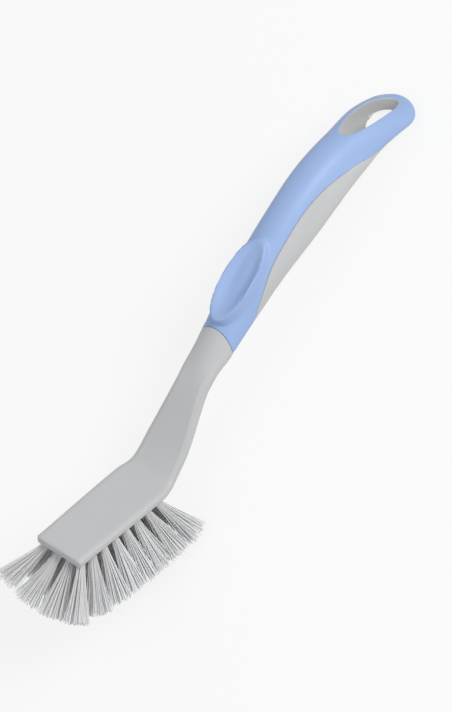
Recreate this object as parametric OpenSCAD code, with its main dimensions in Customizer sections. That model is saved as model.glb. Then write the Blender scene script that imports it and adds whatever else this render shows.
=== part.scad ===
// Dish wand: a moulded brush head, neck and handle core in one piece, a soft
// grip moulded over it, bristle tufts set in the head, and their wire anchors.
// It lies as it does on a worktop, on its back bristles and its handle end.
// +X points from the head to the handle end, +Z is up.

/* [Head] */
// Width of the head plate at its front edge
head_w = 26.8; // [24:0.1:32]
// How much wider the plate is where it meets the neck
head_flare = 1.4; // [0:0.1:3]
// Length of the plate, from its front edge to the bend
head_l = 61; // [56:0.5:70]
// Thickness of the plate at its rim
rim_t = 3.6; // [3:0.1:5]
// Width of the bevel round the top face
bevel_w = 1.9; // [1:0.1:3]
// Depth of that bevel
bevel_d = 0.7; // [0.3:0.1:1.2]

/* [Neck] */
// Length of the neck, from the bend to the grip
neck_l = 67; // [50:1:90]
// Width of the neck where it is narrowest
neck_w = 16; // [12:0.1:20]
// Thickness of the neck
neck_t = 8; // [7:0.1:12]
// Angle that the neck rises from the plate
neck_angle = 40; // [35:1:50]

/* [Handle] */
// Length of the handle, from the front of the grip to the end
handle_l = 149; // [130:1:170]
// Width of the handle at the front of the grip
collar_w = 19.2; // [15:0.1:22]
// Height of the handle at the front of the grip
collar_h = 13; // [11:0.1:16]
// Greatest width of the handle
handle_w = 27.6; // [24:0.1:30]
// Greatest height of the handle
handle_h = 24; // [20:0.1:25]
// Width of the handle at its end
end_w = 24; // [21:0.1:27]
// How far the end drops below the handle's centre line
end_drop = 1.5; // [0:0.1:3]
// Height of the handle at its end
end_h = 8; // [6:0.1:10]
// Angle that the handle rises from the plate where the grip begins
grip_angle = 39; // [32:1:44]
// Angle at the middle of the handle
mid_angle = 31; // [24:1:36]
// Angle at the end of the handle
end_angle = -11; // [-20:1:0]

/* [Thumb rest] */
// Length of the thumb rest
thumb_l = 43; // [30:1:46]
// Width of the thumb rest
thumb_w = 16.5; // [13:0.1:20]
// Height of its rim over the handle
thumb_rise = 3; // [1:0.1:4]
// Depth of the dish in it, under the rim
thumb_dip = 3.4; // [1:0.1:5]

/* [Grip] */
// Thickness of the soft grip
grip_t = 2; // [1.2:0.1:2.8]
// How far the grip's front edge arches back on top
collar_arch = 3; // [0:0.1:4]
// Gap between the grip and the core that it is bonded to
bond_gap = 0.05; // [0.02:0.01:0.1]

/* [Hanging eye] */
// Length of the eye on the top face
eye_l = 35; // [30:0.5:37]
// Width of the eye on the top face
eye_w = 12; // [9:0.1:14]
// Length of the eye on the lower face
eye_low_l = 18; // [14:0.5:22]
// Distance from the eye to the handle end
eye_margin = 7.5; // [5:0.1:9]
// Wall of the lining round the eye
lining_t = 1.2; // [0.8:0.1:2]

/* [Bristles] */
// Columns of tufts along the head
tuft_cols = 8; // [5:1:8]
// Rows of tufts across the head, always even
tuft_rows = 4; // [2:2:4]
// Distance between columns
tuft_pitch_x = 7; // [6.5:0.1:7.2]
// Distance between rows
tuft_pitch_y = 6.4; // [6:0.1:6.6]
// Distance from the front edge to the first column
tuft_inset = 4.8; // [4.5:0.1:6]
// Length of the bristles below the head
bristle_l = 28.5; // [20:0.5:36]
// Diameter of a tuft hole
hole_d = 3.4; // [3:0.1:3.6]
// Depth of a tuft hole
hole_depth = 4.4; // [4:0.1:4.6]
// Gap between a tuft and its hole
tuft_gap = 0.1; // [0.05:0.01:0.15]
// Strands in a tuft
strands = 12; // [6:1:14]
// Radius of a strand at its root
strand_r = 0.3; // [0.2:0.01:0.4]

/* [Tuft anchors] */
// Thickness of the flat wire
anchor_t = 0.4; // [0.3:0.05:0.5]
// Height of the flat wire
anchor_h = 1.6; // [1.2:0.1:2]
// How far each end of the wire bites into the hole's wall
anchor_bite = 0.25; // [0.15:0.05:0.3]

/* [Hidden] */

// Places along the centre line, measured from the front edge
s_bend = head_l;
s_collar = head_l + neck_l;
s_end = s_collar + handle_l;
s_thumb = s_collar + 7 + thumb_l / 2;
s_eye = s_end - eye_margin - eye_l / 2;
s_wide = s_collar + 0.52 * handle_l;
// Places past the bend where the neck has narrowed, and where its rim has grown to the neck's thickness
waist_from = 16;
waist_l = 44;
rim_grow = 25;
bend_reach = 4;
// Length over which the handle end rounds in plan and in height
nose_l = end_w / 2;
nose_h = end_h / 2;

// A smooth curve through rows of [place, value], which stays flat between two equal values
function rise_at(t, i) =
    let (a = t[max(i - 1, 0)], b = t[min(i + 1, len(t) - 1)])
    a[1] == t[i][1] || b[1] == t[i][1] ? 0 : (b[1] - a[1]) / (b[0] - a[0]);
function hermite(u, a, b, ga, gb) =
    a * (2 * u ^ 3 - 3 * u ^ 2 + 1) + b * (3 * u ^ 2 - 2 * u ^ 3)
    + ga * (u ^ 3 - 2 * u ^ 2 + u) + gb * (u ^ 3 - u ^ 2);
function smooth_at(t, x, i = 0) =
    x <= t[0][0] ? t[0][1]
    : x >= t[len(t) - 1][0] ? t[len(t) - 1][1]
    : x > t[i + 1][0] ? smooth_at(t, x, i + 1)
    : let (h = t[i + 1][0] - t[i][0])
      hermite((x - t[i][0]) / h, t[i][1], t[i + 1][1], rise_at(t, i) * h, rise_at(t, i + 1) * h);
function mix(a, b, w) = a + (b - a) * w;
function ease(x) = let (u = min(1, max(0, x))) u * u * (3 - 2 * u);

// The centre line climbs by these angles, place by place
angle_rows = [
    [0, 0], [s_bend - bend_reach, 0], [s_bend + bend_reach, neck_angle], [s_collar, grip_angle],
    [s_collar + 0.45 * handle_l, mid_angle], [s_collar + 0.72 * handle_l, mix(mid_angle, end_angle, 0.5)],
    [s_end, end_angle]];
line_step = 1;
centre_line = [for (i = 0, p = [0, 0]; i <= s_end / line_step + 2;
    p = p + line_step * [cos(angle_at((i + 0.5) * line_step)), sin(angle_at((i + 0.5) * line_step))],
    i = i + 1) p];
function angle_at(s) = smooth_at(angle_rows, s);
function line_at(s) = let (u = s / line_step, i = floor(u)) mix(centre_line[i], centre_line[i + 1], u - i);
// A point y to the side of the centre line at s, and n above it
function lift(s, y, n) = let (p = line_at(s), a = angle_at(s)) [p[0] - n * sin(a), y, p[1] + n * cos(a)];

// Half width of the outline, and its top and underside over the centre line
half_rows = [
    [0, head_w / 2], [s_bend - 6, (head_w + head_flare) / 2], [s_bend + 3, head_w / 2 - 1.2],
    [s_bend + waist_from, neck_w / 2 + 3.4], [s_bend + waist_l, neck_w / 2], [s_collar - 16, neck_w / 2 + 0.4],
    [s_collar, collar_w / 2], [s_thumb, collar_w / 2 + 1], [s_wide, handle_w / 2],
    [s_eye - 8, end_w / 2 + 0.8], [s_end, end_w / 2]];
top_rows = [
    [0, 0], [s_bend + 5, 0], [s_collar - 20, collar_h / 2 - 2], [s_collar, collar_h / 2],
    [s_thumb, handle_h / 2 - 2], [s_wide, handle_h / 2], [s_eye, handle_h / 2 - 3.6],
    [s_end, end_h / 2 - end_drop]];
low_rows = [
    [s_bend + 5, -neck_t], [s_collar - 20, -neck_t + 1], [s_collar, -collar_h / 2],
    [s_thumb, 1 - handle_h / 2], [s_wide, -handle_h / 2], [s_eye, 3 - handle_h / 2],
    [s_end, -end_h / 2 - end_drop]];
// How far the section has turned from the flat neck into the round handle, and into the full handle
round_from = 24;
round_l = 22;
function roundness(s) = ease((s - s_collar + round_from) / round_l);
function fullness(s) = ease((s - s_thumb) / (s_wide - s_thumb - 6)) * (1 - 0.8 * ease((s - s_eye + 20) / 20));
function nose(s, l) = s <= s_end - l ? 1 : sqrt(max(0, 1 - ((s - s_end + l) / l) ^ 2));

// Half of a section has half_n steps from the middle of the top to the middle of the underside
half_n = 16;
ring_n = 2 * half_n;
edge_m = half_n / 2;
// The section's underside breaks into its outer facet at this share of the half width
keel = 0.48;
// The facets rise from a flat front edge over this length
keel_l = 4;
function keel_depth(s) = ease(s / keel_l);
// Flat neck and plate section: the top, a bevel, the rim, then two facets that face the splayed tufts
splay_in = 9;
splay_out = 27;
function flat_half(s) =
    let (h = smooth_at(half_rows, s), f = h - bevel_w, k = h * keel,
        deep = keel_depth(s), d_out = deep * (h - k) * tan(splay_out), d_in = deep * k * tan(splay_in),
        rim = s <= s_bend ? rim_t : mix(rim_t, neck_t - d_out - d_in, ease((s - s_bend) / rim_grow)),
        top = smooth_at(top_rows, s))
    concat([for (m = [0:5]) [f * m / 5, top]], [[h, top - bevel_d], [h, top - rim]],
        [for (m = [1:4]) [mix(h, k, m / 4), top - rim - d_out * m / 4]],
        [for (m = [1:5]) [mix(k, 0, m / 5), top - rim - d_out - d_in * m / 5]]);
// Round section of the handle, narrow on top and full in the belly
belly_rows = [[-90, 0], [-78, 0.36], [-53, 0.80], [-20, 1], [6, 0.87], [38, 0.63], [65, 0.39], [90, 0]];
function round_point(s, phi, inset) =
    let (h = smooth_at(half_rows, s) * nose(s, nose_l) - inset,
        top = smooth_at(top_rows, s), low = smooth_at(low_rows, s),
        b = (top - low) / 2 * nose(s, nose_h) - inset)
    [h * mix(cos(phi), smooth_at(belly_rows, phi), fullness(s)), (top + low) / 2 + b * sin(phi)];

// The bare window in the belly, as the angle of its edge at each place
s_win_a = s_collar + 10;
s_win_b = s_end - eye_margin - eye_low_l - 3;
win_front = [5, 16, 34];
win_back = [45, 20, 6];
window_rows = [
    [s_win_a, -80], [s_win_a + win_front[0], -35], [s_win_a + win_front[1], 2], [s_win_a + win_front[2], 30],
    [s_win_b - win_back[0], 32], [s_win_b - win_back[1], 6], [s_win_b - win_back[2], -30], [s_win_b, -80]];
function in_window(s) = s >= s_win_a && s <= s_win_b;
function phi_at(s, m) =
    let (even = 90 - 180 * m / half_n, e = smooth_at(window_rows, s))
    !in_window(s) ? even
    : m <= edge_m ? mix(90, e, m / edge_m)
    : mix(e, -90, (m - edge_m) / (half_n - edge_m));
function section_point(s, m, inset) =
    let (r = round_point(s, phi_at(s, m), inset), w = roundness(s))
    w >= 1 ? r : mix(flat_half(s)[m], r, w);
// The rings beside the collar lean back on top, as the grip's front edge does
arch_reach = 9;
function arch(s, m) = let (up = max(0, cos(180 * m / half_n)))
    collar_arch * up * (2 - up) * ease(1 - abs(s - s_collar) / arch_reach);
function side_point(s, m, side, inset) =
    let (at = s + arch(s, m), p = section_point(at, m, inset)) lift(at, side * p[0], p[1]);
function ring_at(s, inset) = [for (m = [0:ring_n - 1])
    m <= half_n ? side_point(s, m, 1, inset) : side_point(s, ring_n - m, -1, inset)];

// Where the stations stand along the centre line
core_end = s_end - grip_t;
bend_end = s_bend + 22;
head_stations = concat([0, 1.3, 2.7, 4], [for (s = [8:7.5:s_bend - 9]) s], [for (s = [s_bend - 6:2:s_bend + 6]) s],
    [for (s = [s_bend + 9:3:bend_end]) s],
    [for (k = [1:7]) mix(bend_end, s_collar, k / 7)]);
win_steps = 20;
win_stations = [for (k = [0:win_steps]) mix(s_win_a, s_win_b, 0.5 - 0.5 * cos(180 * k / win_steps))];
tail_stations = [for (s = [s_win_b + 3:4:s_end - nose_l - 1]) s];
function nose_stations(s_from, s_to, n) = [for (k = [0:n]) s_from + (s_to - s_from) * sin(90 * k / n)];
throat_stations = [for (s = [s_collar + 3.5:3.5:s_win_a - 1]) s];
function handle_stations(s_to) =
    concat(throat_stations, win_stations, tail_stations, nose_stations(s_end - nose_l, s_to, 9));

// Triangles between rings of n points, and fans that close the ends
function band_faces(rings, n) = [for (i = [0:rings - 2], j = [0:n - 1])
    let (a = i * n + j, b = i * n + (j + 1) % n) each [[a, b, b + n], [a, b + n, a + n]]];
function fan_faces(first, n, tip, up) = [for (j = [0:n - 1])
    let (a = first + j, b = first + (j + 1) % n) up ? [b, a, tip] : [a, b, tip]];
function middle(ring) = let (n = len(ring)) [for (i = [0:2]) ([for (p = ring) p[i]] * [for (p = ring) 1]) / n];
module rings_solid(rings) {
    n = len(rings[0]);
    count = len(rings);
    points = concat([for (r = rings) each r], [middle(rings[0]), middle(rings[count - 1])]);
    polyhedron(points, concat(band_faces(count, n), fan_faces(0, n, count * n, true),
        fan_faces((count - 1) * n, n, count * n + 1, false)));
}

// The handle's outer form, and the core's form inside it
module handle_form() {
    stations = concat([s_collar + bond_gap], handle_stations(s_end - 0.02));
    rings_solid([for (s = stations) ring_at(s, 0)]);
}
module core_form(inset, neck) {
    front = neck ? [s_collar] : [s_collar - 5, s_collar];
    handle_part = [for (s = concat(front, handle_stations(core_end))) ring_at(s, inset)];
    rings_solid(neck ? concat([for (s = head_stations) ring_at(s, 0)], handle_part) : handle_part);
}

// The core's belly, which fills the bare window: a strip of the section between two depths
function strip_half(s, gap, out, deep) =
    let (e = smooth_at(window_rows, s) - gap * (180 / PI) / smooth_at(half_rows, s),
        phis = [for (k = [0:half_n - edge_m]) mix(e, -90, k / (half_n - edge_m))])
    [[for (p = phis) round_point(s, p, out)], [for (p = phis) round_point(s, p, deep)]];
function strip_ring(s, gap, out, deep) = let (h = strip_half(s, gap, out, deep), q = half_n - edge_m)
    concat([for (k = [0:q]) lift(s, h[0][k][0], h[0][k][1])],
        [for (k = [1:q]) lift(s, -h[0][q - k][0], h[0][q - k][1])],
        [for (k = [0:q]) lift(s, -h[1][k][0], h[1][k][1])],
        [for (k = [1:q]) lift(s, h[1][q - k][0], h[1][q - k][1])]);
module belly_form(gap, out) {
    deep = grip_t + 1.5;
    q = 2 * (half_n - edge_m);
    n = 2 * q + 2;
    rings = [for (s = win_stations) strip_ring(min(max(s, s_win_a + gap), s_win_b - gap), gap, out, deep)];
    last = (len(rings) - 1) * n;
    caps = [for (k = [0:q - 1]) each [[k, n - 1 - k, k + 1], [k + 1, n - 1 - k, n - 2 - k],
        [last + k, last + k + 1, last + n - 1 - k], [last + k + 1, last + n - 2 - k, last + n - 1 - k]]];
    polyhedron([for (r = rings) each r], concat(band_faces(len(rings), n), caps));
}

// The hanging eye: an oval on the top face that narrows to a shorter one below
s_eye_low = s_end - eye_margin - eye_low_l / 2;
eye_low_w = eye_w - 2;
eye_n = 28;
function eye_ring(s_mid, l, w, grow, rows, past) = [for (k = [0:eye_n - 1])
    let (a = 360 * k / eye_n, s = s_mid + (l / 2 + grow) * cos(a), y = (w / 2 + grow) * sin(a),
        fall = past != 0 ? 0 : 1 - sqrt(max(0, 1 - (y / (handle_w / 2 - 1)) ^ 2)))
    lift(s, y, smooth_at(rows, s) * (1 - fall) + past)];
function eye_top(grow, past) = eye_ring(s_eye, eye_l, eye_w, grow, top_rows, past);
function eye_low(grow, past) = eye_ring(s_eye_low, eye_low_l, eye_low_w, grow, low_rows, -past);
module eye_form(grow) rings_solid([eye_top(grow, 0), eye_low(grow, 0)]);
// The cutter runs straight on past both faces, clear of the handle's curve
eye_past = 2;
eye_run_out = 8;
module eye_cut(grow) rings_solid([eye_top(grow, eye_run_out), eye_top(grow, eye_past),
    eye_low(grow, eye_past), eye_low(grow, eye_run_out)]);

// The thumb rest: a raised oval with a dish in it
module at_thumb(n) {
    p = line_at(s_thumb);
    translate([p[0], 0, p[1]]) rotate([0, -angle_at(s_thumb), 0]) translate([0, 0, n]) children();
}
thumb_top = smooth_at(top_rows, s_thumb) + thumb_rise;
module oval(l, w, h) scale([l / w, 1, 1]) cylinder(d = w, h = h, $fn = 36);
module thumb_form() hull() {
    at_thumb(thumb_top - 0.01) oval(thumb_l, thumb_w, 0.01);
    at_thumb(0) oval(thumb_l + 6, thumb_w + 2, 0.01);
}
module thumb_dish() hull() at_thumb(thumb_top + thumb_dip)
    scale([thumb_l / 2 - 1, thumb_w / 2 - 1, 2 * thumb_dip] / sqrt(0.75)) sphere(r = 1, $fn = 28);

module body() color([0.75, 0.75, 0.76]) rest() difference() {
    union() {
        core_form(grip_t + bond_gap, true);
        belly_form(bond_gap, 0);
        eye_form(lining_t);
    }
    eye_cut(0);
    each_tuft() tuft_hole();
}
module grip() color([0.6, 0.72, 0.9]) rest() difference() {
    union() {
        handle_form();
        thumb_form();
    }
    core_form(grip_t, false);
    belly_form(0, -1);
    eye_cut(lining_t + bond_gap);
    thumb_dish();
}

// Tufts fan forward and back along the head and splay to its sides
fan_front = 45;
fan_back = 26;
fan_still = 5;
splay_step = (splay_in + splay_out) / 2;
function tuft_x(c) = tuft_inset + (c - 1) * tuft_pitch_x;
function tuft_y(r) = (r - (tuft_rows + 1) / 2) * tuft_pitch_y;
function tuft_fan(c) = c <= fan_still ? fan_front * ((fan_still - c) / (fan_still - 1)) ^ 2
    : -fan_back * ((c - fan_still) / (tuft_cols - fan_still)) ^ 1.5;
function tuft_splay(r) = (r - (tuft_rows + 1) / 2) * splay_step;
function under_at(s, y) = let (h = smooth_at(half_rows, s), k = h * keel, a = abs(y))
    a > k ? -rim_t - (h - a) * tan(splay_out) : -rim_t - (h - k) * tan(splay_out) - (k - a) * tan(splay_in);
function tuft_root(c, r) = [tuft_x(c), tuft_y(r), under_at(tuft_x(c), tuft_y(r))];
function turned(v, a, b) = let (y = v[1] * cos(b) - v[2] * sin(b), z = v[1] * sin(b) + v[2] * cos(b))
    [v[0] * cos(a) + z * sin(a), y, z * cos(a) - v[0] * sin(a)];
function tuft_point(c, r, v) = tuft_root(c, r) + turned(v, tuft_fan(c), tuft_splay(r));
module at_tuft(c, r)
    translate(tuft_root(c, r)) rotate([0, tuft_fan(c), 0]) rotate([tuft_splay(r), 0, 0]) children();
module each_tuft() for (c = [1:tuft_cols], r = [1:tuft_rows]) at_tuft(c, r) children();

// Strands stand in two rings and spread towards their tips, mirrored in the rows of the other side
flare_x = 2.9;
flare_y = 4.6;
strand_tip_r = 0.5;
tuft_d = hole_d - 2 * tuft_gap;
strands_in = floor(strands / 4);
strands_out = strands - strands_in;
ring_in = 0.38;
ring_out = 0.95;
ring_turn = 20;
strand_bend = 1.3;
strand_sink = 0.8;
function round_at(size, a) = size * [cos(a), sin(a)];
function strand_place(i) = i < strands_in
    ? round_at(ring_in, 360 * i / strands_in)
    : round_at(ring_out, 360 * (i - strands_in) / strands_out + ring_turn);
function side_of(r) = r > tuft_rows / 2 ? 1 : -1;
function strand_mid(i, t, side) = let (p = strand_place(i), w = t ^ strand_bend, root = tuft_d / 2 - strand_r)
    [p[0] * mix(root, flare_x, w), side * p[1] * mix(root, flare_y, w), -bristle_l * t];
function strand_ring(i, t, side) = let (m = strand_mid(i, t, side), r = mix(strand_r, strand_tip_r, t))
    [for (k = [0:2]) m + r * [cos(120 * k), sin(120 * k), 0]];
module strand(i, side) {
    sunk = [for (p = strand_ring(i, 0, side)) p + [0, 0, strand_sink]];
    points = concat(sunk, strand_ring(i, 0.5, side), strand_ring(i, 1, side));
    polyhedron(points, concat([[0, 2, 1], [6, 7, 8]], band_faces(3, 3)));
}
wire_cover = 0.8;
wire_z = hole_depth - wire_cover - anchor_h;
wire_gap = 0.03;
anchor_l = hole_d + 2 * anchor_bite;
module wire(l, gap) translate([-l / 2 - gap, -anchor_t / 2 - gap, wire_z - gap])
    cube([l + 2 * gap, anchor_t + 2 * gap, anchor_h + 2 * gap]);
hole_run_in = 4;
module tuft_hole() {
    translate([0, 0, -hole_run_in]) cylinder(d = hole_d, h = hole_depth + hole_run_in, $fn = 24);
    wire(anchor_l, wire_gap);
}
module tuft(c, r) color([0.88, 0.88, 0.88]) rest() at_tuft(c, r) {
    difference() {
        cylinder(d = tuft_d, h = hole_depth, $fn = 24);
        wire(anchor_l, wire_gap);
    }
    for (i = [0:strands - 1]) strand(i, side_of(r));
}
module tuft_anchors() color([0.7, 0.7, 0.68]) rest() each_tuft() wire(anchor_l, 0);

// At rest the wand lies on its lowest bristle tips and the underside of the handle end
tips = [for (c = [1:tuft_cols], r = [1:tuft_rows], i = [0:strands - 1], p = strand_ring(i, 1, side_of(r)))
    tuft_point(c, r, p)];
heel_reach = 40;
heels = [for (s = [s_end - heel_reach:1:s_end - 1]) let (p = round_point(s, -90, 0)) lift(s, 0, p[1])];
slopes = [for (t = tips) min([for (h = heels) (h[2] - t[2]) / (h[0] - t[0])])];
tilt = atan(max(slopes));
function laid_x(p) = p[0] * cos(tilt) + p[2] * sin(tilt);
function laid_z(p) = p[2] * cos(tilt) - p[0] * sin(tilt);
floor_z = min([for (t = tips) laid_z(t)]);
low_x = min([for (t = tips) laid_x(t)]);
ends = [for (s = nose_stations(s_end - nose_l, s_end, 30), a = [-90:10:90])
    lift(s, 0, round_point(s, a, 0)[1])];
high_x = max([for (p = ends) laid_x(p)]);
module rest() translate([-(low_x + high_x) / 2, 0, -floor_z]) rotate([0, tilt, 0]) children();

body();
grip();
tuft_anchors();
for (c = [1:tuft_cols], r = [1:tuft_rows]) tuft(c, r);
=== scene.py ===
import math
import random
import bmesh
import bpy
from mathutils import Matrix, Vector


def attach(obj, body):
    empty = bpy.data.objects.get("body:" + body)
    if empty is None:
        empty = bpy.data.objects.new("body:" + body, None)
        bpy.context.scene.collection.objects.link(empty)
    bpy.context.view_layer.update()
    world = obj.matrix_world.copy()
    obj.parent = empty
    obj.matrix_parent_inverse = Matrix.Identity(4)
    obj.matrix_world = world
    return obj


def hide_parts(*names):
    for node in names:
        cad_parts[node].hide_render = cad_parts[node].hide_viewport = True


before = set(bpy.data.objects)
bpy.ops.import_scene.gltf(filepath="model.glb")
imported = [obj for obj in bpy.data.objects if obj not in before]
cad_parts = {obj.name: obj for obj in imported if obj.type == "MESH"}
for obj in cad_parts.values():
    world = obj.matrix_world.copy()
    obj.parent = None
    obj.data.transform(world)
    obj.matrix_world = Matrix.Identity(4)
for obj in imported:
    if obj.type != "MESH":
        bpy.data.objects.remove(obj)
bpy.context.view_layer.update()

# All sizes are in millimetres along the wand's own centre line; toRest() lays the
# wand on the worktop and turns millimetres into metres.
wand = {
    "headLength": 61.0,
    "neckLength": 67.0,
    "handleLength": 149.0,
    "neckAngle": 40.0,
    "gripAngle": 39.0,
    "middleAngle": 31.0,
    "endAngle": -11.0,
    "restTilt": 36.1573,    # how far the head is nosed up at rest
    "restMiddle": 112.495,  # middle of the laid length
    "restFloor": -66.7489,
}
sBend = wand["headLength"]
sCollar = sBend + wand["neckLength"]
sEnd = sCollar + wand["handleLength"]


def smoothAt(rows, x):
    # a smooth curve through [place, value] rows, flat between two equal values
    if x <= rows[0][0]:
        return rows[0][1]
    if x >= rows[-1][0]:
        return rows[-1][1]
    i = 0
    while x > rows[i + 1][0]:
        i += 1

    def slope(k):
        a, b = rows[max(k - 1, 0)], rows[min(k + 1, len(rows) - 1)]
        level = rows[k][1] in (a[1], b[1])
        return 0 if level else (b[1] - a[1]) / (b[0] - a[0])

    h = rows[i + 1][0] - rows[i][0]
    u = (x - rows[i][0]) / h
    return (rows[i][1] * (2 * u ** 3 - 3 * u * u + 1) + rows[i + 1][1] * (3 * u * u - 2 * u ** 3)
            + slope(i) * h * (u ** 3 - 2 * u * u + u) + slope(i + 1) * h * (u ** 3 - u * u))


def mix(a, b, w):
    return a + (b - a) * w


def ease(x):
    u = min(1.0, max(0.0, x))
    return u * u * (3 - 2 * u)


angleRows = [(0, 0), (sBend - 4, 0), (sBend + 4, wand["neckAngle"]), (sCollar, wand["gripAngle"]),
             (sCollar + 0.45 * wand["handleLength"], wand["middleAngle"]),
             (sCollar + 0.72 * wand["handleLength"], mix(wand["middleAngle"], wand["endAngle"], 0.5)),
             (sEnd, wand["endAngle"])]
centreLine = [(0.0, 0.0)]
while len(centreLine) < sEnd + 4:
    turn = math.radians(smoothAt(angleRows, len(centreLine) - 0.5))
    centreLine.append((centreLine[-1][0] + math.cos(turn), centreLine[-1][1] + math.sin(turn)))
restTurn = math.radians(wand["restTilt"])


def toRest(x, y, z):
    # from the head plate's own axes to the worktop, in metres
    c, s = math.cos(restTurn), math.sin(restTurn)
    return Vector((x * c + z * s - wand["restMiddle"], y, z * c - x * s - wand["restFloor"])) * 0.001


def lift(s, y, n):
    # the point y to the side of the centre line at s, and n above it
    i = max(0, int(math.floor(s)))
    u = s - i
    x = mix(centreLine[i][0], centreLine[i + 1][0], u)
    z = mix(centreLine[i][1], centreLine[i + 1][1], u)
    a = math.radians(smoothAt(angleRows, s))
    return toRest(x - n * math.sin(a), y, z + n * math.cos(a))


outline = {
    "headWidth": 26.8,
    "headFlare": 1.4,
    "rimThickness": 3.6,
    "bevelWidth": 1.9,
    "bevelDepth": 0.7,
    "neckWidth": 16.0,
    "neckThickness": 8.0,
    "collarWidth": 19.2,
    "collarHeight": 13.0,
    "handleWidth": 27.6,
    "handleHeight": 24.0,
    "endWidth": 24.0,
    "endHeight": 8.0,
    "endDrop": 1.5,
    "gripThickness": 2.0,
    "coreGap": 0.15,             # between the grip and the core under it
    "gripWall": 1.1,             # thickness of the sleeve itself, which is open behind
    "edgeSteps": (0.16, 0.45),   # where an edge's rounding has its columns
    "edgeDrop": (0.2, 0.05),     # how far the edge and the column beside it sink
    "cornerRadius": 1.0,
    "collarArch": 5.2,           # how far the grip's front edge arches back on top
    "archReach": 11.0,
    "keel": 0.48,                # the underside's outer facets begin at this share of the half width
    "keelLength": 4.0,
    "outerFacet": 27.0,          # slopes of the underside's facets, in degrees
    "innerFacet": 9.0,
}
coreInset = outline["gripThickness"] + outline["coreGap"]
mergeReach = 0.000004    # metres within which points become one
thumbRest = {"length": 41.5, "shift": 0.9, "width": 16.5, "rise": 3.3, "dip": 3.7, "blunt": 2.15,
             "rimSoftness": 1.5, "footSoftness": 1.3}
eye = {"length": 35.0, "width": 12.0, "margin": 7.5, "lowLength": 20.0, "lowWidth": 15.6, "lowMargin": 4.5,
       "liningWall": 1.2, "lip": 0.3}
sThumb = sCollar + 28.5
sEye = sEnd - eye["margin"] - eye["length"] / 2
sEyeLow = sEnd - eye["lowMargin"] - eye["lowLength"] / 2
sWide = sCollar + 0.52 * wand["handleLength"]
noseLength = outline["endWidth"] / 2
noseHeight = outline["endHeight"] / 2
winStart = sCollar + 6    # the bare belly between these two places
winEnd = sEnd - 17
# the eye's two openings, from a to b along the centre line
holeTopA = sEye - eye["length"] / 2 - eye["lip"]
holeTopB = sEnd - eye["margin"] + eye["lip"]
holeLowA = sEyeLow - eye["lowLength"] / 2 - eye["lip"]
holeLowB = sEnd - eye["lowMargin"] + eye["lip"]

halfRows = [(0, outline["headWidth"] / 2), (sBend - 6, (outline["headWidth"] + outline["headFlare"]) / 2),
            (sBend + 3, outline["headWidth"] / 2 - 1.2), (sBend + 16, outline["neckWidth"] / 2 + 3.4),
            (sBend + 44, outline["neckWidth"] / 2), (sCollar - 16, outline["neckWidth"] / 2 + 0.4),
            (sCollar, outline["collarWidth"] / 2), (sThumb, outline["collarWidth"] / 2 + 1),
            (sWide, outline["handleWidth"] / 2), (sEye - 8, outline["endWidth"] / 2 + 0.8),
            (sEnd, outline["endWidth"] / 2)]
topRows = [(0, 0), (sBend + 5, 0), (sCollar - 20, outline["collarHeight"] / 2 - 2),
           (sCollar, outline["collarHeight"] / 2), (sThumb, outline["handleHeight"] / 2 - 2),
           (sWide, outline["handleHeight"] / 2), (sEye, outline["handleHeight"] / 2 - 3.6),
           (sEnd, outline["endHeight"] / 2 - outline["endDrop"])]
lowRows = [(sBend + 5, -outline["neckThickness"]), (sCollar - 20, 1 - outline["neckThickness"]),
           (sCollar, -outline["collarHeight"] / 2), (sThumb, 1 - outline["handleHeight"] / 2),
           (sWide, -outline["handleHeight"] / 2), (sEye, 3 - outline["handleHeight"] / 2),
           (sEnd, -outline["endHeight"] / 2 - outline["endDrop"])]
bellyRows = [(-127, -0.8), (-102, -0.36), (-90, 0), (-78, 0.36), (-53, 0.80), (-20, 1), (6, 0.87), (38, 0.63),
             (65, 0.39), (90, 0), (115, -0.39), (142, -0.63)]
bellyShares = [sum(smoothAt(bellyRows, k - 90 + 4 * d) for d in range(-4, 5)) / 9 for k in range(182)]
seamRows = [(winStart, -35), (winStart + 5, -30), (winStart + 18, 8), (winStart + 36, 36),
            (sEnd - 73, 35), (sEnd - 48, 7), (sEnd - 36, -13), (sEnd - 24, -27), (winEnd, -32)]


def nose(s, length):
    return 1.0 if s <= sEnd - length else math.sqrt(max(0.0, 1 - ((s - sEnd + length) / length) ** 2))


def roundPoint(s, phi, inset):
    # the handle's round section: narrow on top, full in the belly
    full = ease((s - sThumb) / (sWide - sThumb - 6)) * (1 - 0.8 * ease((s - sEye + 20) / 20))
    top, low = smoothAt(topRows, s), smoothAt(lowRows, s)
    h = max(0.0, smoothAt(halfRows, s) * nose(s, noseLength) - inset)
    b = max(0.0, (top - low) / 2 * nose(s, noseHeight) - inset)
    k = min(180, int(phi + 90))
    belly = mix(bellyShares[k], bellyShares[k + 1], phi + 90 - k)
    side = max(0.0, mix(math.cos(math.radians(phi)), belly, full))
    return h * side, (top + low) / 2 + b * math.sin(math.radians(phi))


def phiForSide(s, y, upper):
    # the angle at which the section is y wide, on its top or its underside
    lo, hi = (0.0, 90.0) if upper else (-20.0, -90.0)
    for _ in range(24):
        m = (lo + hi) / 2
        lo, hi = (m, hi) if roundPoint(s, m, 0)[0] > y else (lo, m)
    return (lo + hi) / 2


def seamPhi(s):
    # where the grip ends and the bare belly begins
    t = min((s - winStart) / 6, (winEnd - s) / 6, 1.0)
    return -90 + (90 + smoothAt(seamRows, s)) * math.sqrt(max(0.0, 1 - (1 - t) ** 2))


def smoothMax(a, b, soft):
    h = max(0.0, soft - abs(a - b)) / soft
    return max(a, b) + h * h * soft / 4


def arch(s, phi):
    # the sections beside the collar lean back on top
    up = max(0.0, math.sin(math.radians(phi)))
    return outline["collarArch"] * up ** 1.2 * ease(1 - abs(s - sCollar) / outline["archReach"])


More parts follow.
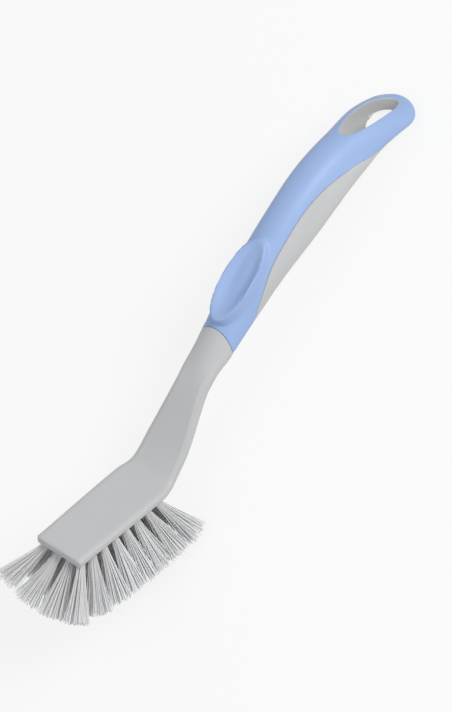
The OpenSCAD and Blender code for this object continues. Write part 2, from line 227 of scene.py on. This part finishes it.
def thumbShape(s, y, n):
    # how far a point lies outside the thumb rest, which is a raised oval with a dish in it
    u = abs(s - sThumb - thumbRest["shift"]) / (thumbRest["length"] / 2)
    p = thumbRest["blunt"]
    rim = smoothAt(topRows, sThumb) + thumbRest["rise"]
    spread = 1 + 0.14 * max(0.0, (rim - n) / rim)
    side = ((u / spread) ** p + abs(y / (thumbRest["width"] / 2 + 0.08 * (rim - n))) ** p) ** (1 / p)
    rho = (u ** p + abs(y / (thumbRest["width"] / 2)) ** p) ** (1 / p)
    top = rim - thumbRest["dip"] * (1 - min(1.0, rho) ** 2)
    return smoothMax(n - top, (side - 1) * thumbRest["width"] / 2, thumbRest["rimSoftness"])


def gripPoint(s, phi, inset):
    # the round section, pushed out where the thumb rest stands over it
    y, n = roundPoint(s, phi, inset)
    if abs(s - sThumb) > thumbRest["length"] / 2 + 4 or phi < 0:
        return y, n
    middle = (smoothAt(topRows, s) + smoothAt(lowRows, s)) / 2
    reach = math.hypot(y, n - middle)
    if reach < 1e-6:
        return y, n
    dy, dn = y / reach, (n - middle) / reach
    lo, hi = 0.0, 26.0
    if thumbShape(s, 0, middle) > 0:
        return y, n
    for _ in range(22):
        m = (lo + hi) / 2
        lo, hi = (m, hi) if thumbShape(s, dy * m, middle + dn * m) < 0 else (lo, m)
    r = smoothMax(reach, lo - inset, thumbRest["footSoftness"])
    return dy * r, middle + dn * r


def finishMesh(bm, name, material, sharpAngle=32):
    bmesh.ops.recalc_face_normals(bm, faces=bm.faces)
    for f in bm.faces:
        f.smooth = True
    for e in bm.edges:
        if len(e.link_faces) == 2 and e.calc_face_angle(0) > math.radians(sharpAngle):
            e.smooth = False
    mesh = bpy.data.meshes.new(name)
    bm.to_mesh(mesh)
    bm.free()
    piece = bpy.data.objects.new(name, mesh)
    bpy.context.scene.collection.objects.link(piece)
    mesh.materials.append(material)
    return piece


# materials
class Sock:
    # wraps a shader socket or a number, so that sums read as sums
    def __init__(self, tree, value):
        self.tree, self.value = tree, value

    def _math(self, operation, a, b=None):
        node = self.tree.nodes.new("ShaderNodeMath")
        node.operation = operation
        for i, item in enumerate((a, b)):
            if item is None:
                continue
            if isinstance(item, Sock):
                item = item.value
            if isinstance(item, (int, float)):
                node.inputs[i].default_value = item
            else:
                self.tree.links.new(item, node.inputs[i])
        return Sock(self.tree, node.outputs[0])

    def __add__(self, other):
        return self._math("ADD", self, other)

    __radd__ = __add__

    def __sub__(self, other):
        return self._math("SUBTRACT", self, other)

    def __rsub__(self, other):
        return self._math("SUBTRACT", other, self)

    def __mul__(self, other):
        return self._math("MULTIPLY", self, other)

    __rmul__ = __mul__

    def clamp(self):
        return self._math("MAXIMUM", self._math("MINIMUM", self, 1.0), 0.0)


class Finish:
    # one material and the way its nodes are added
    def __init__(self, name, **fixed):
        self.material = bpy.data.materials.new(name)
        self.material.use_nodes = True
        self.tree = self.material.node_tree
        self.shader = self.tree.nodes["Principled BSDF"]
        for socket, value in fixed.items():
            self.shader.inputs[socket.replace("_", " ")].default_value = value

    def add(self, kind, settings=None, inputs=None, out=0):
        node = self.tree.nodes.new("ShaderNode" + kind)
        for key, value in (settings or {}).items():
            setattr(node, key, value)
        for key, value in (inputs or {}).items():
            if isinstance(value, Sock):
                self.tree.links.new(value.value, node.inputs[key])
            else:
                node.inputs[key].default_value = value
        return Sock(self.tree, node.outputs[out])

    def noise(self, scale, detail=3.0, rough=0.5, stretch=None):
        where = self.add("TexCoord", out=3)
        if stretch:
            where = self.add("Mapping", inputs={"Vector": where, "Scale": stretch})
        inputs = {"Vector": where, "Scale": scale, "Detail": detail, "Roughness": rough}
        return self.add("TexNoise", inputs=inputs)

    def blend(self, factor, a, b):
        node = self.tree.nodes.new("ShaderNodeMix")
        node.data_type = "RGBA"
        self.tree.links.new(factor.value, node.inputs[0])
        for i, colour in ((6, a), (7, b)):
            if isinstance(colour, Sock):
                self.tree.links.new(colour.value, node.inputs[i])
            else:
                node.inputs[i].default_value = (*colour, 1)
        return Sock(self.tree, node.outputs[2])

    def to(self, socket, value):
        self.tree.links.new(value.value, self.shader.inputs[socket])

    def bump(self, height, strength, distance):
        inputs = {"Height": height, "Strength": strength, "Distance": distance}
        self.to("Normal", self.add("Bump", inputs=inputs))


mouldedGrey = {"light": (0.565, 0.565, 0.565), "dark": (0.52, 0.52, 0.52), "rough": 0.42}
softBlue = {"light": (0.335, 0.465, 0.745), "dark": (0.295, 0.425, 0.71), "rough": 0.52}
# nylon's dark end is both the dark tone of some bristles and painted shade at the roots
nylon = {"light": (0.92, 0.92, 0.92), "dark": (0.58, 0.58, 0.58), "rough": 0.38}
flatWire = {"light": (0.62, 0.62, 0.60), "dark": (0.48, 0.47, 0.45), "rough": 0.34}


def makeMouldedGrey():
    f = Finish("moulded grey plastic", Specular_IOR_Level=0.42)
    flow = f.noise(38.0, 3.0, 0.5, (1.0, 2.6, 2.6))   # faint flow marks along the moulding
    spark = f.noise(3400.0, 2.0, 0.6)                 # spark-eroded tool texture
    rub = f.noise(210.0, 5.0, 0.62, (1.0, 5.0, 5.0))
    tint = (flow * 0.75 + spark * 0.25).clamp()
    f.to("Base Color", f.blend(tint, mouldedGrey["dark"], mouldedGrey["light"]))
    f.to("Roughness", (rub * 0.16 + spark * 0.08 + (mouldedGrey["rough"] - 0.12)).clamp())
    f.bump(spark * 0.8 + flow * 0.2, 0.16, 0.00006)
    return f.material


def makeSoftBlue():
    f = Finish("soft blue grip", Specular_IOR_Level=0.55, Coat_Weight=0.15, Coat_Roughness=0.5)
    cloud = f.noise(45.0, 3.0, 0.5)
    grain = f.noise(2600.0, 2.0, 0.65)                # matt moulded skin
    dust = f.noise(420.0, 4.0, 0.7)
    tint = (cloud * 0.7 + grain * 0.3).clamp()
    f.to("Base Color", f.blend(tint, softBlue["dark"], softBlue["light"]))
    f.to("Roughness", (dust * 0.14 + grain * 0.06 + (softBlue["rough"] - 0.1)).clamp())
    f.bump(grain * 0.9 + dust * 0.1, 0.2, 0.00008)
    return f.material


def makeNylon():
    # tone differs from bristle to bristle at random; along runs from root to tip and makes the bristles
    # darker toward the roots, which is painted shade under the plate and between the tufts
    f = Finish("nylon bristles", Specular_IOR_Level=0.5)
    tone = f.add("Attribute", {"attribute_name": "tone"}, out=2)
    along = f.add("Attribute", {"attribute_name": "along"}, out=2)
    draw = f.noise(900.0, 2.0, 0.5)
    # the along share is painted shade: dark at the roots, light at the tips
    tint = (tone * 0.5 + along * 0.35 + draw * 0.15).clamp()
    f.to("Base Color", f.blend(tint, nylon["dark"], nylon["light"]))
    f.to("Roughness", (draw * 0.2 + tone * 0.1 + (nylon["rough"] - 0.15)).clamp())
    f.bump(draw, 0.1, 0.00004)
    return f.material


def makeFlatWire():
    # for the anchors, which come from the frame
    f = Finish("flat anchor wire", Metallic=1.0)
    lines = f.noise(1800.0, 3.0, 0.6, (1.0, 1.0, 9.0))
    f.to("Base Color", f.blend(lines, flatWire["dark"], flatWire["light"]))
    f.to("Roughness", (lines * 0.2 + (flatWire["rough"] - 0.1)).clamp())
    f.bump(lines, 0.15, 0.00003)
    return f.material


greyMaterial = makeMouldedGrey()
blueMaterial = makeSoftBlue()
nylonMaterial = makeNylon()
wireMaterial = makeFlatWire()
print("materials made")

# the handle's columns run from the middle of the top (0) to the middle of the underside, and
# three of them keep to an edge: the eye's, the grip's seam and the lower opening's
columns = {"half": 60, "eyeTop": 16, "seam": 30, "eyeLow": 48}


def columnPhi(s, m):
    # the angle of column m round the section at s
    half, k1, k2, k3 = columns["half"], columns["eyeTop"], columns["seam"], columns["eyeLow"]
    even = [90 - 180 * k / half for k in (k1, k2, k3)]

    def holeEdge(a, b, width, upper, free):
        edge = 90.0 if upper else -90.0
        if a <= s <= b:
            t = (2 * s - a - b) / (b - a)
            y = (width / 2 + eye["lip"]) * math.sqrt(max(0.0, 1 - t * t))
            return phiForSide(s, y, upper)
        away = (a - s) / 9 if s < a else (s - b) / (sEnd - b)
        return mix(edge, free, ease(away))

    p1 = holeEdge(holeTopA, holeTopB, eye["width"], True, even[0])
    p3 = holeEdge(holeLowA, holeLowB, eye["lowWidth"], False, even[2])
    if winStart <= s <= winEnd:
        p2 = seamPhi(s)
        p3 = mix(mix(p2, -90, 0.6), p3, ease((s - holeLowA + 9) / 9))
        p2 = max(p2, p3 + 0.01)
    else:
        away = (winStart - s) / 8 if s < winStart else (s - winEnd) / 20
        p2 = mix(-90, even[1], ease(away)) if s < winStart else mix(max(p3, -88), even[1], ease(away))
        if s < winStart:
            p3 = mix(p2, -90, 0.6)
    p2 = min(p2, p1 - 4)
    p3 = min(p3, p2)
    stops = [(0, 90), (k1, p1), (k2, p2), (k3, p3), (half, -90)]
    degree = 57.3 / max(4.0, smoothAt(halfRows, s) * nose(s, noseLength))
    for (a, pa), (b, pb) in zip(stops, stops[1:]):
        if m > b:
            continue
        phi = mix(pa, pb, (m - a) / (b - a))
        # the columns beside an edge keep to it, for its rounding
        if a == k1 and m - a in (1, 2):
            phi = max(phi, pa - degree * outline["edgeSteps"][m - a - 1])
        if b in (k2, k3) and b - m in (1, 2):
            phi = min(phi, pb + degree * outline["edgeSteps"][b - m - 1])
        if a == k2 and m - a in (1, 2):
            phi = max(phi, pa - degree * outline["edgeSteps"][m - a - 1])
        return phi
    return -90


def spaced(a, b, n, ends="both"):
    # n steps from a to b, closer together at the ends that are rounded
    if ends == "both":
        return [mix(a, b, 0.5 - 0.5 * math.cos(math.pi * k / n)) for k in range(n)]
    if ends == "first":
        return [mix(a, b, 1 - math.cos(math.pi / 2 * k / n)) for k in range(n)]
    return [mix(a, b, math.sin(math.pi / 2 * k / n)) for k in range(n)]


def ringColumn(j):
    # column j of the whole ring as a column of one half and the side that it lies on
    half = columns["half"]
    return (j, 1) if j <= half else (2 * half - j, -1)


handleRows = [(sCollar + 0.05, 0.5), (sCollar + 0.15, 0.24), (sCollar + 0.4, 0.06), (sCollar + 0.8, 0)]
handleRows += [(mix(sCollar + 0.8, winStart, k / 12), 0) for k in range(1, 12)]
handleRows += [(s, 0) for s in spaced(winStart, winStart + 12, 16, "first")]
handleRows += [(mix(winStart + 12, holeTopA, k / 74), 0) for k in range(74)]
handleRows += [(s, 0) for s in spaced(holeTopA, holeLowA, 24, "first")]
handleRows += [(s, 0) for s in spaced(holeLowA, winEnd, 20)]
handleRows += [(s, 0) for s in spaced(winEnd, holeTopB, 20)]
handleRows += [(s, 0) for s in spaced(holeTopB, holeLowB, 8)]
handleRows += [(s, 0) for s in spaced(holeLowB, sEnd - noseHeight * 0.2, 10, "last")]
handleRows += [(s, 0) for s in spaced(sEnd - noseHeight * 0.2, sEnd, 8, "last")] + [(sEnd, 0)]


def edgeSink(s, m):
    # the rounding beside the eye, the window and the lower eye
    drop = 0.0
    edges = ((columns["eyeTop"], (0, 1), holeTopA, holeTopB),
             (columns["seam"], (0, -1), winStart, winEnd),
             (columns["eyeLow"], (0, -1), holeLowA, holeLowB))
    for column, sides, a, b in edges:
        if a - 0.01 <= s <= b + 0.01:
            for k, side in enumerate(sides):
                if m == column + side:
                    drop = max(drop, outline["edgeDrop"][k])
    return drop


def facesWithin(bm, spots, openings):
    # the faces that lie inside an opening, given as places from a to b and columns from k0 to k1
    gone = []
    for f in bm.faces:
        at = [spots[v] for v in f.verts]
        for a, b, k0, k1 in openings:
            if all(a - 0.01 <= s <= b + 0.01 and k0 <= m <= k1 and inside for s, m, inside in at):
                gone.append(f)
                break
    return gone


def makeSoftGrip():
    bm = bmesh.new()
    cols = 2 * columns["half"] + 1
    spots = {}

    def where(i, j):
        s, drop = handleRows[i]
        m, side = ringColumn(j)
        phi = columnPhi(s, m)
        at = s + arch(s, phi)
        y, n = gripPoint(at, phi, max(drop, edgeSink(s, m)))
        return lift(at, side * y, n)

    bmesh.ops.create_grid(bm, x_segments=len(handleRows) - 1, y_segments=cols - 1, size=0.5)
    for v in bm.verts:
        i = round((v.co.x + 0.5) * (len(handleRows) - 1))
        j = round((v.co.y + 0.5) * (cols - 1))
        spots[v] = (handleRows[i][0], ringColumn(j)[0], 1)
        v.co = where(i, j)
    openings = ((holeTopA, holeTopB, 0, columns["eyeTop"]),
                (winStart, winEnd, columns["seam"], columns["half"]),
                (holeLowA, holeLowB, columns["eyeLow"], columns["half"]))
    bmesh.ops.delete(bm, geom=facesWithin(bm, spots, openings), context="FACES")
    bmesh.ops.remove_doubles(bm, verts=bm.verts, dist=mergeReach)
    bmesh.ops.dissolve_degenerate(bm, edges=bm.edges, dist=0.000003)
    grip = finishMesh(bm, "softGrip", blueMaterial, 50)
    wall = grip.modifiers.new("wall", "SOLIDIFY")
    wall.thickness = outline["gripWall"] * 0.001
    wall.offset = -1
    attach(grip, "root")
    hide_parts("grip")


print("shaping the grip")
makeSoftGrip()


def flatPoint(s, m, shrink):
    # the neck and plate section: top, bevel, rim, and two facets that face the tufts
    h = smoothAt(halfRows, s)
    if s < outline["cornerRadius"]:
        h -= outline["cornerRadius"] * (1 - math.sqrt(max(0.0, 1 - (1 - s / outline["cornerRadius"]) ** 2)))
    f, k = h - outline["bevelWidth"], h * outline["keel"]
    deep = ease(s / outline["keelLength"])
    dOut = deep * (h - k) * math.tan(math.radians(outline["outerFacet"]))
    dIn = deep * k * math.tan(math.radians(outline["innerFacet"]))
    rim = outline["rimThickness"]
    if s > sBend:
        rim = mix(rim, outline["neckThickness"] - dOut - dIn, ease((s - sBend) / 25))
    top = smoothAt(topRows, s) - 0.5 * max(0.0, 0.9 - s)
    corners = [Vector((0, top)), Vector((f, top)), Vector((h, top - outline["bevelDepth"])),
               Vector((h, top - rim)), Vector((k, top - rim - dOut)), Vector((0, top - rim - dOut - dIn))]
    stops = [(0, corners[0])]
    for k0, corner, before, after, soft in ((18, 1, 0, 2, 0.25), (22, 2, 1, 3, 0.4), (27, 3, 2, 4, 0.4)):
        p = corners[corner]
        a = p + (corners[before] - p).normalized() * soft
        b = p + (corners[after] - p).normalized() * soft
        stops += [(k0 - 1, a), (k0, (a + 2 * p + b) / 4), (k0 + 1, b)]
    stops += [(43, corners[4]), (60, corners[5])]
    for (a, pa), (b, pb) in zip(stops, stops[1:]):
        if m <= b:
            p = pa.lerp(pb, (m - a) / (b - a))
            break
    middle = Vector((0, top - rim * 0.5))
    away = p - middle
    if shrink and away.length > shrink:
        p = p - away.normalized() * shrink
    return p


bodyRows = [(0.0, 0.4, 0), (0.08, 0.2, 0), (0.25, 0.06, 0), (0.5, 0, 0), (0.9, 0, 0)]
bodyRows += [(mix(0.9, sBend - 12, k / 34), 0, 0) for k in range(1, 34)]
bodyRows += [(mix(sBend - 12, sBend + 24, k / 48), 0, 0) for k in range(48)]
bodyRows += [(mix(sBend + 24, sCollar - 0.5, k / 36), 0, 0) for k in range(36)]
bodyRows += [(sCollar - 0.5, 0.04, 0), (sCollar - 0.2, 0.12, 0), (sCollar - 0.05, 0.35, 0)]
bodyRows += [(s, 0, 1) for s, _ in handleRows if sCollar + 0.3 < s < sEnd - outline["gripThickness"]]


def bodyPoint(s, m, shrink, inside):
    # the plate and the neck, or the core inside the grip, which comes flush in the bare belly
    if inside:
        inset = coreInset
        if winStart + 0.1 <= s <= winEnd - 0.1 and m >= columns["seam"]:
            past = m - columns["seam"]
            inset = {0: 1.2, 1: 0.3, 2: 0.07}.get(past, 0.0)
        y, n = roundPoint(s, columnPhi(s, m), inset)
        if inset < 1 and m == columns["seam"] + 1:
            y, n = roundPoint(s, columnPhi(s, m) - 0.3, inset)
        return y, n
    flat = flatPoint(s, m, shrink)
    w = ease((s - sCollar + 24) / 22)
    y, n = roundPoint(s, 90 - 180 * m / columns["half"], shrink)
    return mix(flat.x, y, w), mix(flat.y, n, w)


def clearOfEye(s, m, y):
    # the core's openings are a little wider than the eye, so that it stays behind the eye's wall
    fade = 10
    sides = ((columns["eyeTop"], holeTopA, holeTopB, 1), (columns["eyeLow"], holeLowA, holeLowB, -1))
    for column, a, b, way in sides:
        past = (m - column) * way
        if a <= s <= b and 0 <= past < fade:
            phi = columnPhi(s, column)
            edge, core = roundPoint(s, phi, 0)[0], roundPoint(s, phi, coreInset)[0]
            gap = edge + eye["lip"] - core
            y += max(0.0, gap) * (1 - past / fade)
    return y


def makeBodyMoulding():
    bm = bmesh.new()
    cols = 2 * columns["half"] + 1
    spots = {}
    rims = []
    bmesh.ops.create_grid(bm, x_segments=len(bodyRows) - 1, y_segments=cols - 1, size=0.5)
    for v in bm.verts:
        i = round((v.co.x + 0.5) * (len(bodyRows) - 1))
        s, shrink, inside = bodyRows[i]
        m, side = ringColumn(round((v.co.y + 0.5) * (cols - 1)))
        at = s + arch(s, columnPhi(s, m) if inside else 90 - 180 * m / columns["half"])
        y, n = bodyPoint(at, m, shrink, inside)
        if inside:
            y = clearOfEye(s, m, y)
        v.co = lift(at, side * y, n)
        spots[v] = (s, m, inside)
        if i in (0, len(bodyRows) - 1):
            rims.append(v)
    eyes = ((holeTopA, holeTopB, 0, columns["eyeTop"]),
            (holeLowA, holeLowB, columns["eyeLow"], columns["half"]))
    bmesh.ops.delete(bm, geom=facesWithin(bm, spots, eyes), context="FACES")
    bmesh.ops.remove_doubles(bm, verts=bm.verts, dist=mergeReach)
    rims = {v for v in rims if v.is_valid}
    caps = [e for e in bm.edges if len(e.link_faces) == 1 and rims.issuperset(e.verts)]
    bmesh.ops.holes_fill(bm, edges=caps, sides=0)
    addEyeLining(bm)
    body = finishMesh(bm, "bodyMoulding", greyMaterial, 38)
    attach(body, "root")
    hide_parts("body")


def eyeRim(a, grow, upper):
    # place, side and height of a point of the eye's oval in the top face or the lower one
    mid = sEye if upper else sEyeLow
    length, width = (eye["length"], eye["width"]) if upper else (eye["lowLength"], eye["lowWidth"])
    s, y = mid + (length / 2 + grow) * math.cos(a), (width / 2 + grow) * math.sin(a)
    return s, y, roundPoint(s, phiForSide(s, abs(y), upper), 0)[1]


def addEyeLining(bm):
    # the eye's wall flares from the top oval (0) to the lower one (1), and has a skin behind it
    wall, lip, count = eye["liningWall"], eye["lip"], 96
    levels = [(0.012, lip + 0.15), (0.016, 0.1), (0.03, 0.0)] + [(k / 14, 0.0) for k in range(1, 14)]
    levels += [(0.96, 0.0), (0.975, 0.12), (0.978, lip + 0.1), (0.93, wall), (0.5, wall), (0.07, wall)]
    grid = bmesh.ops.create_grid(bm, x_segments=len(levels), y_segments=count, size=0.5)["verts"]
    for v in grid:
        depth, grow = levels[round((v.co.x + 0.5) * len(levels)) % len(levels)]
        a = 2 * math.pi * round((v.co.y + 0.5) * count) / count
        top, low = eyeRim(a, grow, True), eyeRim(a, grow, False)
        w = depth ** 1.4
        v.co = lift(mix(top[0], low[0], w), mix(top[1], low[1], w), mix(top[2], low[2], depth))
    bmesh.ops.remove_doubles(bm, verts=grid, dist=mergeReach)


print("shaping the moulding")
makeBodyMoulding()

tufts = {
    "columns": 8, "rows": 4, "pitchX": 7.0, "pitchY": 6.4, "inset": 4.8, "length": 28.5,
    "fanFront": 45.0, "fanBack": 26.0, "still": 5, "splayStep": 18.0,
    "bristles": 105, "holeRadius": 1.58, "flareX": 7.4, "flareY": 7.2, "flareOut": 5.0,
    "rootRadius": 0.17, "tipRadius": 0.21, "ragged": 0.6,
    "turnStep": 2.39996,    # radians from one bristle to the next, which spreads them evenly
}


def underAt(s, y):
    # the height of the plate's underside, where a tuft comes out
    h = smoothAt(halfRows, s)
    k, a = h * outline["keel"], abs(y)
    outer = math.tan(math.radians(outline["outerFacet"]))
    inner = math.tan(math.radians(outline["innerFacet"]))
    return -outline["rimThickness"] - ((h - a) * outer if a > k else (h - k) * outer + (k - a) * inner)


def tuftFrame(c, r):
    # where a tuft is rooted, and how it leans forward or back and to the side
    x = tufts["inset"] + (c - 1) * tufts["pitchX"]
    y = (r - (tufts["rows"] + 1) / 2) * tufts["pitchY"]
    if c <= tufts["still"]:
        fan = tufts["fanFront"] * ((tufts["still"] - c) / (tufts["still"] - 1)) ** 2
    else:
        fan = -tufts["fanBack"] * ((c - tufts["still"]) / (tufts["columns"] - tufts["still"])) ** 1.5
    splay = (r - (tufts["rows"] + 1) / 2) * tufts["splayStep"]
    turn = Matrix.Rotation(math.radians(fan), 3, "Y") @ Matrix.Rotation(math.radians(splay), 3, "X")
    return Vector((x, y, underAt(x, y))), turn


def makeBristleShape():
    # one straight bristle, which every tuft copies and bends
    bm = bmesh.new()
    bmesh.ops.create_cone(bm, cap_ends=True, segments=5, radius1=1, radius2=1, depth=1)
    upright = [e for e in bm.edges if abs(e.verts[0].co.z - e.verts[1].co.z) > 0.5]
    bmesh.ops.subdivide_edges(bm, edges=upright, cuts=3)
    mesh = bpy.data.meshes.new("bristleShape")
    bm.to_mesh(mesh)
    bm.free()
    return mesh


bristleShape = makeBristleShape()


def makeTuft(c, r):
    root, turn = tuftFrame(c, r)
    chance = random.Random(100 * c + r)
    bm = bmesh.new()
    tone = bm.verts.layers.float.new("tone")
    # along runs from 0 at the root to 1 at the tip, and the nylon finish uses it to paint shade toward the
    # roots
    along = bm.verts.layers.float.new("along")
    count = tufts["bristles"]
    for k in range(count):
        reach = math.sqrt((k + 0.5) / count)
        angle = k * tufts["turnStep"] + chance.uniform(-0.2, 0.2)
        px, py = reach * math.cos(angle), reach * math.sin(angle)
        length = tufts["length"] + chance.uniform(-1, 1) * tufts["ragged"] - 0.5 * reach * reach
        tipX = px * tufts["flareX"] * chance.uniform(0.8, 1.12) + chance.uniform(-0.35, 0.35)
        outward = py * (r - (tufts["rows"] + 1) / 2) > 0 and r in (1, tufts["rows"])
        flare = tufts["flareOut" if outward else "flareY"]
        tipY = py * flare * chance.uniform(0.8, 1.12) + chance.uniform(-0.35, 0.35)
        bend = chance.uniform(1.15, 1.5)
        shade = chance.random()
        before = len(bm.verts)
        bm.from_mesh(bristleShape)
        bm.verts.ensure_lookup_table()
        for v in bm.verts[before:]:
            t = v.co.z + 0.5
            radius = mix(tufts["rootRadius"], tufts["tipRadius"], t)
            w = t ** bend
            x = mix(px * (tufts["holeRadius"] - 0.2), tipX, w) + v.co.x * radius
            y = mix(py * (tufts["holeRadius"] - 0.2), tipY, w) + v.co.y * radius
            p = root + turn @ Vector((x, y, 1.2 - (length + 1.2) * t))
            v.co = toRest(*p)
            v.co.z = max(v.co.z, 0.00002)
            v[tone] = shade
            v[along] = t
    tuft = finishMesh(bm, "bristleTuft_%d_%d" % (c, r), nylonMaterial, 60)
    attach(tuft, "root")
    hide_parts("tuft_%d_%d" % (c, r))


print("setting the tufts")
for c in range(1, tufts["columns"] + 1):
    for r in range(1, tufts["rows"] + 1):
        makeTuft(c, r)
bpy.data.meshes.remove(bristleShape)

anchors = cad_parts["tuft_anchors"].data.materials
anchors.clear()
anchors.append(wireMaterial)

# the camera stands far off with a long lens, as the picture was taken
view = {"scale": 2.22, "distance": 6000.0, "pixelAcross": 168.0, "pixelUp": 193.0, "pixelsHigh": 712}
right = Vector((0.672, -0.739, -0.057))
up = Vector((0.559, 0.453, 0.696))
toward = right.cross(up).normalized()
up = toward.cross(right).normalized()
right.normalize()


def restDirection(v):
    # turns a direction as toRest() turns a place
    c, s = math.cos(restTurn), math.sin(restTurn)
    return Vector((v.x * c + v.z * s, v.y, v.z * c - v.x * s))


aim = right * (view["pixelAcross"] / view["scale"]) + up * (view["pixelUp"] / view["scale"])
spot = aim + toward * view["distance"]
cameraData = bpy.data.cameras.new("camera")
cameraData.sensor_width = 36
cameraData.lens = view["scale"] * view["distance"] * cameraData.sensor_width / view["pixelsHigh"]
cameraData.clip_end = 20
camera = bpy.data.objects.new("camera", cameraData)
bpy.context.scene.collection.objects.link(camera)
axes = Matrix((restDirection(right), restDirection(up), restDirection(toward))).transposed()
camera.matrix_world = Matrix.Translation(toRest(*spot)) @ axes.to_4x4()
bpy.context.scene.camera = camera


studio = {"light": (0.9, 0.92, 0.95), "strength": 0.44, "floor": (0.86, 0.86, 0.86), "floorRough": 0.7,
          "floorGlow": 0.8, "floorRadius": 3.0}


def whiteToCamera(tree):
    # light at a plain level, but white where the camera, glass or gloss looks at it
    path = tree.nodes.new("ShaderNodeLightPath")
    seen = path.outputs["Is Camera Ray"]
    for kind in ("Is Glossy Ray", "Is Transmission Ray"):
        either = tree.nodes.new("ShaderNodeMath")
        either.operation = "MAXIMUM"
        tree.links.new(seen, either.inputs[0])
        tree.links.new(path.outputs[kind], either.inputs[1])
        seen = either.outputs[0]
    return seen


def makeWorld():
    world = bpy.data.worlds.new("studio")
    bpy.context.scene.world = world
    world.use_nodes = True
    tree = world.node_tree
    tree.nodes.clear()
    out = tree.nodes.new("ShaderNodeOutputWorld")
    dim = tree.nodes.new("ShaderNodeBackground")
    dim.inputs["Color"].default_value = (*studio["light"], 1)
    dim.inputs["Strength"].default_value = studio["strength"]
    white = tree.nodes.new("ShaderNodeBackground")
    white.inputs["Color"].default_value = (1, 1, 1, 1)
    white.inputs["Strength"].default_value = 1.0
    pick = tree.nodes.new("ShaderNodeMixShader")
    tree.links.new(whiteToCamera(tree), pick.inputs[0])
    tree.links.new(dim.outputs[0], pick.inputs[1])
    tree.links.new(white.outputs[0], pick.inputs[2])
    tree.links.new(pick.outputs[0], out.inputs[0])


def makeFloor():
    bm = bmesh.new()
    bmesh.ops.create_circle(bm, cap_ends=True, segments=64, radius=studio["floorRadius"])
    mesh = bpy.data.meshes.new("floor")
    bm.to_mesh(mesh)
    bm.free()
    floor = bpy.data.objects.new("floor", mesh)
    floor.location.z = -0.0002
    bpy.context.scene.collection.objects.link(floor)
    material = bpy.data.materials.new("pale floor")
    material.use_nodes = True
    tree = material.node_tree
    paint = tree.nodes["Principled BSDF"]
    paint.inputs["Base Color"].default_value = (*studio["floor"], 1)
    paint.inputs["Roughness"].default_value = studio["floorRough"]
    glow = tree.nodes.new("ShaderNodeEmission")
    glow.inputs["Color"].default_value = (1, 1, 1, 1)
    pick = tree.nodes.new("ShaderNodeMixShader")
    seen = whiteToCamera(tree)
    share = tree.nodes.new("ShaderNodeMath")
    share.operation = "MULTIPLY"
    share.inputs[1].default_value = studio["floorGlow"]
    tree.links.new(seen, share.inputs[0])
    tree.links.new(share.outputs[0], pick.inputs[0])
    tree.links.new(paint.outputs[0], pick.inputs[1])
    tree.links.new(glow.outputs[0], pick.inputs[2])
    tree.links.new(pick.outputs[0], tree.nodes["Material Output"].inputs[0])
    mesh.materials.append(material)


# places are given across, up and toward the camera, in metres from just above the wand's middle
lamps = [
    {"name": "key", "at": (0.66, 0.5, 1.6), "size": 0.8, "power": 18.0},
    {"name": "fill", "at": (-1.0, -0.2, 1.4), "size": 1.1, "power": 4.5},
]
lampAim = Vector((0, 0, 0.03))


def makeLamps():
    for lamp in lamps:
        data = bpy.data.lights.new(lamp["name"], "AREA")
        data.shape = "DISK"
        data.size = lamp["size"]
        data.energy = lamp["power"]
        light = bpy.data.objects.new(lamp["name"], data)
        light.location = axes @ Vector(lamp["at"]) + lampAim
        aimed = lampAim - light.location
        light.rotation_euler = aimed.to_track_quat("-Z", "Y").to_euler()
        bpy.context.scene.collection.objects.link(light)


print("lighting the studio")
makeWorld()
makeFloor()
makeLamps()
bpy.context.scene.view_settings.view_transform = "Standard"

bpy.context.view_layer.update()
print("scene ready")
